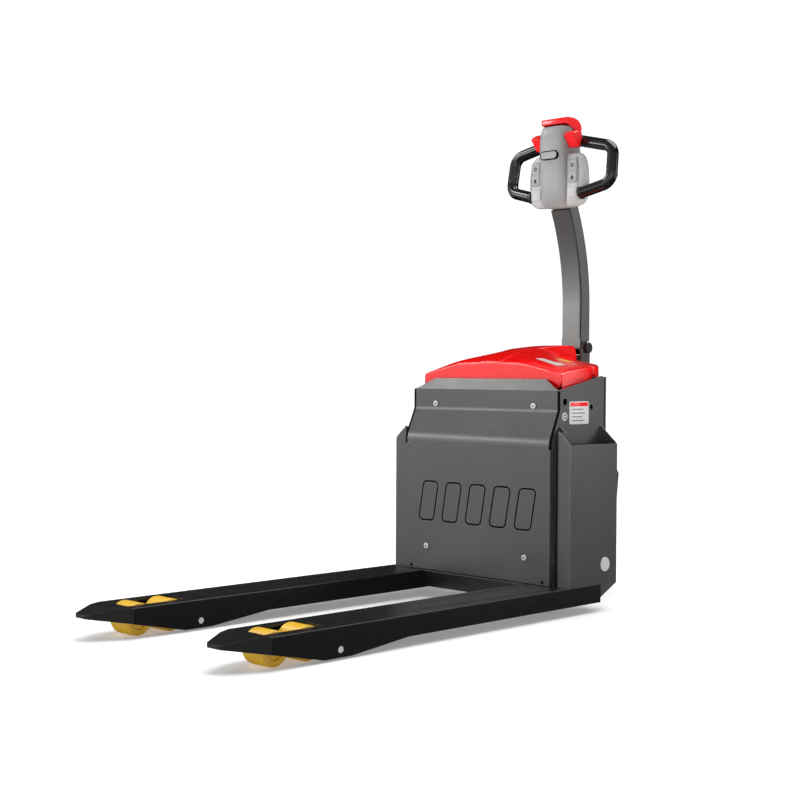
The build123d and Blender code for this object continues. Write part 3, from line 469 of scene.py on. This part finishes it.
def flat_shape(name, loops, frame_matrix, thickness, body, slot, round_edge=0.0003):
    """A plate cut to closed loops, some of them holes, set on a plane and rounded at its edges."""
    curve = bpy.data.curves.new(name, "CURVE")
    curve.dimensions = "2D"
    curve.fill_mode = "BOTH"
    curve.extrude = max(thickness / 2 - round_edge, 0.00005)
    curve.bevel_depth = round_edge
    curve.bevel_resolution = 1
    curve.offset = -round_edge
    for loop in loops:
        spline = curve.splines.new("POLY")
        spline.points.add(len(loop) - 1)
        for point, (x, y) in zip(spline.points, loop):
            point.co = (x, y, 0.0, 1.0)
        spline.use_cyclic_u = True
    source = bpy.data.objects.new(name + "_outline", curve)
    mesh = bpy.data.meshes.new_from_object(source)
    bpy.data.objects.remove(source)
    mesh.transform(frame_matrix)
    bm = bmesh.new()
    bm.from_mesh(mesh)
    bpy.data.meshes.remove(mesh)
    return make_piece(name, bm, body, slot, sharp=35.0)


def plane_at(origin, across, up):
    """The matrix of a drawing plane: its origin, its x direction and its y direction."""
    across, up = Vector(across).normalized(), Vector(up).normalized()
    normal = across.cross(up)
    return Matrix.Translation(origin) @ Matrix((across, up, normal)).transposed().to_4x4()


def circle(radius, x=0.0, y=0.0, count=40):
    return [(x + radius * math.cos(math.tau * i / count), y + radius * math.sin(math.tau * i / count))
            for i in range(count)]


def rounded_box(width, height, radius, x=0.0, y=0.0, steps=5):
    """The loop of a rectangle with round corners."""
    loop = []
    for corner, (sx, sy) in enumerate(((1, 1), (-1, 1), (-1, -1), (1, -1))):
        for step in range(steps + 1):
            angle = math.pi / 2 * (corner + step / steps)
            loop.append((x + sx * (width / 2 - radius) + radius * math.cos(angle),
                         y + sy * (height / 2 - radius) + radius * math.sin(angle)))
    return loop


def turned(name, profile, origin, axis, body, slot, count=48):
    """A turned piece: a profile of (along, radius) swept round an axis and closed at its ends."""
    axis = Vector(axis).normalized()
    across = axis.orthogonal().normalized()
    other = axis.cross(across)
    rings = []
    for along, radius in profile:
        ring = [origin + axis * along + (across * math.cos(math.tau * i / count)
                                         + other * math.sin(math.tau * i / count)) * radius for i in range(count)]
        rings.append(ring)
    return make_piece(name, ring_loft(rings), body, slot, sharp=32.0)


# ------------------------------------------------------------------- the hood

# distance behind the load face, half width, eave, crest, foot of the ridge, shoulder half width and height
HOOD_ROWS = [(66, 268, 668, 704, 701, 124, 700), (70, 268, 669, 706, 703, 130, 701.5),
             (90, 268, 673, 714, 711, 160, 708), (140, 268, 681, 733, 730, 124, 712),
             (200, 268, 688, 744, 740, 138, 709.5), (213, 262, 689, 745, 741, 140, 709),
             (290, 207, 695, 753, 741, 106, 713), (350, 178, 696, 756, 727, 90, 709),
             (402, 136, 697, 756, 715, 74, 706), (416, 127, 697, 756, 712, 70, 705)]
RIDGE_HALF = 42.0


def hood_row(back, half, eave, crest, foot, shoulder, shoulder_z):
    """Points across the hood at one distance behind the load face, from the left skirt to the right."""
    low = 619 if back < 205 else 645
    slope = (shoulder_z - eave) / (half - shoulder)
    bulge = 6 if 75 < back < 205 else 0
    right = [(half, low), (half, (low + eave) / 2), (half, eave - 3), (half - 4, eave + 4 * slope),
             ((half + shoulder) / 2, (eave + shoulder_z) / 2), (shoulder, shoulder_z),
             ((shoulder + RIDGE_HALF) / 2, (shoulder_z + foot) / 2 + bulge), (RIDGE_HALF + 7, foot),
             (RIDGE_HALF + 2, foot + 1), (RIDGE_HALF, crest - 3), (RIDGE_HALF - 5, crest),
             (RIDGE_HALF * 0.4, crest)]
    return [(-x, z) for x, z in right] + [(x, z) for x, z in reversed(right)]


def hood():
    """The hood's arched skin with soft corners, a raised ridge and a flat deck round the column."""
    rows = [[at(x, row[0], z) for x, z in hood_row(*row)] for row in HOOD_ROWS]
    first = hood_row(*HOOD_ROWS[0])
    front = []
    for share in (1.0, 0.5, 0.12):
        front.append([at(x, HOOD_ROWS[0][0], max(619, z - (z - 619) * share) if abs(x) < 267.9 else z)
                      for x, z in first])
    last = hood_row(*HOOD_ROWS[-1])
    rear = [at(x, HOOD_ROWS[-1][0], min(z, 689)) for x, z in last]
    piece = make_piece("hood_skin", grid(front + rows + [rear]), "power_unit", "hood_red", solidify=0.003,
                       subdivide=2)
    crease(piece, lambda co: co.z < 0.6195, 1.0)
    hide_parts("hood")
    outline = [(264, 206), (266, 216), (177, 350), (84, 466), (60, 505), (38, 532)]
    loop = [(x * MM, LOAD_FACE_Y + b * MM) for x, b in outline]
    loop += [(-x, y) for x, y in reversed(loop)]
    hole = circle(0.051, 0.0, STEER_Y)
    flat_shape("hood_deck", [loop, hole[::-1]], Matrix.Translation((0, 0, 0.6895)), 0.005, "power_unit", "hood_red", 0.002)
    wall = bmesh.new()
    low = [wall.verts.new((x, y, 0.66)) for x, y in loop]
    high = [wall.verts.new((x, y, 0.6885)) for x, y in loop]
    for index in range(len(loop) - 1):
        wall.faces.new((low[index], low[index + 1], high[index + 1], high[index]))
    make_piece("hood_skirt", wall, "power_unit", "hood_red", solidify=0.003, sharp=25.0)
    turned("column_boot", [(0.0, 0.049), (0.004, 0.05), (0.008, 0.047), (0.0075, 0.038), (0.0, 0.037)],
           at(0, 0, 0) + Vector((0, STEER_Y - LOAD_FACE_Y, 0.6925)), (0, 0, 1), "steering", "knob_black")


# --------------------------------------------------------------- tiller head

BODY_RINGS = [(1175, 28, 372, 410), (1178, 40, 358, 420), (1190, 47, 346, 430), (1215, 50, 341, 435),
              (1260, 50, 338, 437), (1300, 49, 334, 438), (1340, 48, 328, 436), (1372, 46.5, 327, 434),
              (1392, 46, 328, 420), (1403, 45.5, 330, 401), (1414, 45, 334, 400), (1423, 44.5, 338, 399),
              (1424, 43, 341, 397)]


def body_ring(z, half, front, rear):
    """One level of the head's middle, crowned at the front and rounded at its corners."""
    right = [(half * 0.3, front), (half * 0.72, front + 2.5), (half * 0.95, front + 8), (half, front + 19),
             (half, (front + rear) / 2), (half, rear - 16), (half * 0.9, rear - 5), (half * 0.6, rear), (half * 0.2, rear)]
    return [at(x, b, z) for x, b in right] + [at(-x, b, z) for x, b in reversed(right)]


WING_RINGS = [(1180, 70, 12), (1182, 90, 5), (1192, 104, 1), (1212, 111, 0), (1240, 113, 0), (1270, 112, 0), (1298, 109, 0),
              (1318, 104, 0.5), (1332, 96, 3), (1339, 82, 8), (1340, 70, 14)]


def wing_ring(side, z, reach, pull):
    """One level of a wing: flat at the front, swept back to a narrow outer edge."""
    plan = [(0.0, 353), (0.3, 352.5), (0.62, 352.5), (0.72, 354), (0.86, 360), (0.97, 371), (1.0, 380), (0.95, 390), (0.78, 401),
            (0.45, 410), (0.0, 413)]
    return [at(side * (38 + (reach - 38) * share), b + (pull if b < 382 else -pull), z) for share, b in plan]


def head():
    """The tiller head: a crowned middle and two swept wings with key pads."""
    middle = ring_loft([body_ring(*ring) for ring in BODY_RINGS])
    piece = make_piece("head_middle", middle, "tiller", "head_grey", subdivide=2)
    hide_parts("head_front_shell", "head_rear_shell")
    loop = rounded_box(0.067, 0.027, 0.0134)
    inner = rounded_box(0.0615, 0.0215, 0.0107)
    front = plane_at(at(0, 329.0, 1334), (1, 0, 0), (0, 0, 1))
    flat_shape("horn_surround", [loop, inner[::-1]], front, 0.009, "tiller", "seam_black", 0.0006)
    for side, hand in ((-1, "left"), (1, "right")):
        wing = ring_loft([wing_ring(side, *ring) for ring in WING_RINGS])
        make_piece(f"{hand}_wing", wing, "tiller", "wing_grey", subdivide=2)
        pad_plane = plane_at(at(side * 72, 351.2, 1283), (1, 0, 0), (0, 0, 1))
        windows = [rounded_box(0.0268, 0.0288, 0.003, 0.0, z)[::-1] for z in (0.017, -0.018)]
        flat_shape(f"{hand}_key_pad", [rounded_box(0.031, 0.074, 0.008), *windows], pad_plane, 0.0022, "tiller",
                   "key_grey", 0.0005)
        low_plane = plane_at(at(side * 70, 351.4, 1220), (1, 0, 0), (0, 0, 1))
        flat_shape(f"{hand}_wing_plate", [rounded_box(0.036, 0.036, 0.006)], low_plane, 0.0018, "tiller", "wing_grey",
                   0.0005)
        seam = [at(side * x, b, z) for x, b, z in ((85, 357, 1324), (91, 355.6, 1300), (91.5, 355, 1270), (91.5, 355, 1238))]
        seam_bm = bmesh.new()
        for low, high in zip(seam, seam[1:]):
            box = [low + Vector((dx, dy, 0)) for dx, dy in ((-0.0008, -0.001), (0.0008, -0.001), (0.0008, 0.002), (-0.0008, 0.002))]
            top = [high + Vector((dx, dy, 0)) for dx, dy in ((-0.0008, -0.001), (0.0008, -0.001), (0.0008, 0.002), (-0.0008, 0.002))]
            a = [seam_bm.verts.new(point) for point in box]
            b = [seam_bm.verts.new(point) for point in top]
            for i in range(4):
                seam_bm.faces.new((a[i], a[(i + 1) % 4], b[(i + 1) % 4], b[i]))
        make_piece(f"{hand}_wing_seam", seam_bm, "tiller", "seam_black")
        for level, z in (("upper", 1300), ("lower", 1265)):
            key_plane = plane_at(at(side * 72, 349.8, z), (1, 0, 0), (0, 0, 1))
            ring = circle(0.0062, count=28)
            hole = circle(0.0044, count=28)[::-1]
            mark = [ring, hole, rounded_box(0.0016, 0.008, 0.0006)] if level == "upper" else [
                [(-0.006, -0.005), (0.006, -0.005), (0.0, 0.006)], rounded_box(0.012, 0.0014, 0.0004, 0.0, -0.008)]
            flat_shape(f"{hand}_{level}_key_mark", mark, key_plane, 0.0006, f"{hand}_{level}_key", "seam_black", 0.0001)
        low_end = at(side * 92, 366.5, 1215.5)
        turned(f"{hand}_handle_collar", [(-0.004, 0.012), (-0.003, 0.0195), (0.004, 0.0205), (0.009, 0.0195), (0.0095, 0.0178)],
               low_end, (side * 0.97, 0.16, 0.25), "tiller", "knob_black")
        handle_seam_highlight(hand, side)
        top_end = at(side * 60.5, 404.9, 1380.5)
        turned(f"{hand}_grip_ring", [(0.0, 0.0176), (0.0, 0.0181), (0.004, 0.0182), (0.005, 0.0176)],
               top_end, (side * 1.0, -0.05, -0.235), "tiller", "knob_black")


def handle_seam_highlight(hand, side):
    """The slanted parting line round the outer leg of a grip, made in a lighter grey as a painted highlight along it.
    """
    centre = at(side * 193.2, 387.3, 1275)
    count, radius = 48, 0.0175
    rows = []
    for index in range(count + 1):
        angle = math.tau * (index % count) / count
        around = Vector((math.cos(angle), math.sin(angle), 0.0))
        slant = Vector((0.0, 0.0, -side * radius * math.cos(angle)))
        rows.append([centre + slant + around * reach + Vector((0.0, 0.0, rise))
                     for reach, rise in ((0.0172, -0.0009), (0.018, -0.0005), (0.018, 0.0005), (0.0172, 0.0009))])
    # Painted highlight: the ring takes the arm's lighter grey so that it shows as the glint along the parting line of
    # the black grip.
    make_piece(f"{hand}_handle_seam_highlight", grid(rows), "tiller", "arm_grey")


def belly_cap():
    """The red safety cap: a flat front lip and a rounded back over the neck."""
    outline = [(347.5, 1431), (348.5, 1442), (353, 1449), (368, 1450.6), (388, 1450.6), (406, 1448), (419, 1441), (428, 1430),
               (427, 1418), (419, 1408), (413, 1407), (411, 1418), (408, 1430), (380, 1429)]
    rings = []
    for x, shrink in ((-46, 3.5), (-45, 1.0), (-41, 0), (41, 0), (45, 1.0), (46, 3.5)):
        middle_b, middle_z = 388, 1432
        ring = []
        for b, z in outline:
            to_b, to_z = middle_b - b, middle_z - z
            length = math.hypot(to_b, to_z)
            ring.append(at(x, b + to_b / length * shrink, z + to_z / length * shrink))
        rings.append(ring)
    cheek = [(348, 1432), (348, 1444), (352, 1449), (368, 1450.4), (394, 1450), (411, 1445), (423, 1435), (428, 1421),
             (424, 1410), (413, 1405), (399, 1412), (383, 1420), (365, 1427)]
    for side, hand in ((-1, "left"), (1, "right")):
        sides = [[at(side * x, b, z) for b, z in cheek] for x in (45.8, 47.2)]
        make_piece(f"{hand}_cap_cheek", ring_loft(sides), "belly_button", "control_red", bevel=0.0006)
    piece = make_piece("safety_cap", ring_loft(rings), "belly_button", "control_red", bevel=0.0012, segments=3)
    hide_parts("belly_button")


def throttles():
    """The two butterflies: a hub and a scooped thumb lobe with a crest along it."""
    for side, hand in ((-1, "left"), (1, "right")):
        outline = [(386, 1402), (372, 1407), (356, 1405), (343, 1398), (338, 1390), (343, 1385), (352, 1372), (364, 1357),
                   (374, 1355), (378, 1362), (380, 1370), (386, 1376)]
        rings = []
        for x, shrink in ((47.5, 2.0), (49, 0.0), (60, 0.0), (74, 0.6), (81, 2.2), (83, 5.0)):
            middle_b, middle_z = 366, 1381
            ring = []
            for b, z in outline:
                to_b, to_z = middle_b - b, middle_z - z
                length = math.hypot(to_b, to_z)
                ring.append(at(side * x, b + to_b / length * shrink, z + to_z / length * shrink))
            rings.append(ring)
        piece = make_piece(f"{hand}_thumb_lobe", ring_loft(rings), f"{hand}_throttle", "control_red", bevel=0.0025,
                           segments=3)
        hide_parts(f"{hand}_throttle")
        turned(f"{hand}_throttle_hub", [(0.0, 0.016), (0.001, 0.0185), (0.006, 0.0185), (0.0072, 0.016)],
               at(side * 47.8, 405, 1381), (side, 0, 0), f"{hand}_throttle", "control_red")
        web = ring_loft([[at(side * x, b, z) for b, z in ((398, 1396), (376, 1400), (376, 1370), (398, 1366))]
                         for x in (48.5, 54.5)])
        make_piece(f"{hand}_throttle_web", web, f"{hand}_throttle", "control_red", bevel=0.001)


# ------------------------------------------------------------ body details

def side_details():
    """Blank information plates, badge rings, vent dots and cap rings."""
    right = Vector((0, 1, 0))
    up = Vector((0, 0, 1))
    plate_plane = plane_at(at(281.6, 126, 559), right, up)
    flat_shape("side_plate_white", [rounded_box(0.087, 0.064, 0.005)], plate_plane, 0.0008, "fork_frame", "label_white", 0.0002)
    header = plane_at(at(282.1, 126, 583), right, up)
    flat_shape("side_plate_header", [rounded_box(0.08, 0.011, 0.003)], header, 0.0005, "fork_frame", "control_red", 0.0001)
    for row, width in enumerate((0.05, 0.058, 0.044, 0.052)):
        line = plane_at(at(282.1, 119 + (width - 0.05) * 500, 569 - row * 10.5), right, up)
        flat_shape(f"side_plate_bar_{row}", [rounded_box(width, 0.0032, 0.0012)], line, 0.0004, "fork_frame",
                   "label_grey", 0.0001)
    badge = plane_at(at(281.6, 62, 549), right, up)
    flat_shape("side_badge", [circle(0.0115)], badge, 0.0008, "fork_frame", "label_white", 0.0002)
    dot = plane_at(at(282.1, 62, 549), right, up)
    flat_shape("side_badge_mark", [circle(0.0075), circle(0.0042)[::-1]], dot, 0.0005, "fork_frame", "knob_black", 0.0001)
    for side, hand in ((-1, "left"), (1, "right")):
        for index in range(3):
            turned(f"{hand}_vent_dot_{index}", [(0.0, 0.0019), (0.0007, 0.0019), (0.0009, 0.0012)],
                   at(side * 267.9, 132 + index * 12, 650.5 + index * 2.6), (side, 0, 0), "power_unit", "seam_black", 20)
        turned(f"{hand}_cap_ring", [(0.0, 0.0135), (0.0006, 0.0135), (0.0008, 0.0128), (0.0008, 0.0112), (0.0004, 0.0106)],
               at(side * 341.6, 173, 133), (side, 0, 0), "rocker", "bright_steel", 40)
    on_hood("hood_plate_green", 172, 131, 80, 34, "label_white")
    on_hood("hood_plate_green_bar", 172, 131, 62, 12, "label_green", 0.0006)
    on_hood("hood_plate_yellow", 158, 216, 46, 28, "label_yellow")
    cover = [(268, 205), (268, 214), (178, 350), (88, 466), (78, 520), (42, 548)]
    loop = [(x * MM, LOAD_FACE_Y + b * MM) for x, b in cover]
    loop += [(-x, y) for x, y in reversed(loop)]
    flat_shape("cover_lid", [loop, circle(0.053, 0.0, STEER_Y)[::-1]], Matrix.Translation((0, 0, 0.658)), 0.004,
               "power_unit", "cover_paint", 0.001)


def outline_strip(name, outline, inner, outer, near, far, body, slot):
    """A strip between two distances to the side that follows an outline of (back, height) points."""
    rings = [[at(inner, b + near, z), at(outer, b + near, z), at(outer, b + far, z), at(inner, b + far, z)]
             for b, z in outline]
    make_piece(name, ring_loft(rings), body, slot, sharp=35.0)


def panel_details():
    """Black strips beside the folded panel as painted shadow in the gaps at its edges, black inlays as painted shade in
    its grooves, and black discs as painted shade in its bolt sockets.
    """
    fold = [(0, 457), (0, 466), (0.7, 475), (2.7, 484), (5.5, 492.4), (34.6, 557.6), (36.4, 563.2), (37, 569), (37, 620)]
    # Painted shadow: these black strips stand in for the shaded gap between the panel's folded edges and the side
    # plates.
    for side, hand in ((-1, "left"), (1, "right")):
        outline_strip(f"{hand}_panel_gap_shadow", fold, side * 275.4, side * 282.3, -0.6, 3.5, "fork_frame",
               "seam_black")
    # Painted shade: thin black inlays sit in the motif grooves in place of the shade inside them.
    for index in range(5):
        middle = 3 + (index - 2) * 94
        loops = []
        for width, height, radius in ((0.0654, 0.1214, 0.0155), (0.0546, 0.1106, 0.0102)):
            box = rounded_box(width, height, radius)
            loops.append([(x + y * 22 / 122, y) for x, y in box])
        face = plane_at(at(middle, 1.0, 288), (1, 0, 0), (0, 0, 1))
        flat_shape(f"panel_inlay_{index}", [loops[0], loops[1][::-1]], face, 0.0008, "fork_frame", "seam_black", 0.0001)
    # Painted shade: a thin black disc on each bolt head stands in for its shaded socket recess.
    bolt_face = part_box("panel_bolts")[0].y
    for index, (x, setback, z) in enumerate(((-191, 0, 152), (191, 0, 152), (-190, 37, 577.5), (190, 37, 577.5))):
        centre = Vector((x * MM, bolt_face + setback * MM + 0.0002, z * MM))
        turned(f"bolt_socket_shade_{index}", [(0.0, 0.0028), (0.0005, 0.0028), (0.0006, 0.0024)], centre, (0, -1, 0),
               "fork_frame", "seam_black", 24)


def arm_seam():
    """The dark weld seam along the front edges of the tiller arm, and a black sheet across the clevis front as a
    painted shadow in the gap between its cheeks.
    """
    corners = [corner.co for corner in frame["nodes"]["tiller_arm"].data.vertices]
    reach = max(corner.x for corner in corners)
    levels = {}
    for corner in corners:
        if corner.x > reach - 0.0005:
            level = round(corner.z, 3)
            levels[level] = min(levels.get(level, 9.0), corner.y)
    line = []
    for level in sorted(levels):
        nearby = min(y for other, y in levels.items() if abs(other - level) < 0.03)
        if levels[level] < nearby + 0.02:
            line.append((levels[level], level))
    rings = [[Vector((reach - 0.001, y + 0.0004, z)), Vector((reach + 0.0004, y + 0.0004, z)),
              Vector((reach + 0.0004, y + 0.0034, z)), Vector((reach - 0.001, y + 0.0034, z))] for y, z in line]
    make_piece("arm_seam", ring_loft(rings), "tiller", "seam_black", sharp=35.0)
    # Painted shadow: a black sheet across the clevis front stands in for the shade in the gap between its cheeks.
    gap_shade_outline = [(447.5, 728.8), (449.5, 728.8), (449.5, 742), (447.5, 742)]
    sides = [[at(x, b, z) for b, z in gap_shade_outline] for x in (-30, 30)]
    make_piece("clevis_gap_shadow", ring_loft(sides), "tiller", "seam_black", bevel=0.0004)


def on_hood(name, x, back, width, depth, slot, lift=0.0):
    """A thin blank plate that follows the hood's skin, placed from above."""
    skin = bpy.data.objects["hood_skin"]
    graph = bpy.context.evaluated_depsgraph_get()
    surface = BVHTree.FromObject(skin, graph)
    columns, rows = 12, 8
    bm = bmesh.new()
    made = []
    for row in range(rows + 1):
        line = []
        for column in range(columns + 1):
            across, along = column / columns - 0.5, row / rows - 0.5
            corner = max(0.0, abs(across) * width + abs(along) * depth - (width + depth) / 2 + 3)
            shrink = 1.0 - corner / width
            point = at(x + across * width * shrink, back + along * depth * shrink, 900)
            hit = surface.ray_cast(point, Vector((0, 0, -1)))[0]
            line.append(bm.verts.new(hit + Vector((0, 0, 0.0012 + lift))))
        made.append(line)
    for low, high in zip(made, made[1:]):
        for index in range(columns):
            bm.faces.new((low[index], low[index + 1], high[index + 1], high[index]))
    make_piece(name, bm, "power_unit", slot, solidify=0.0008)


hood()
head()
belly_cap()
throttles()
side_details()
panel_details()
arm_seam()
set_camera()
set_stage()
dress_cad_nodes()
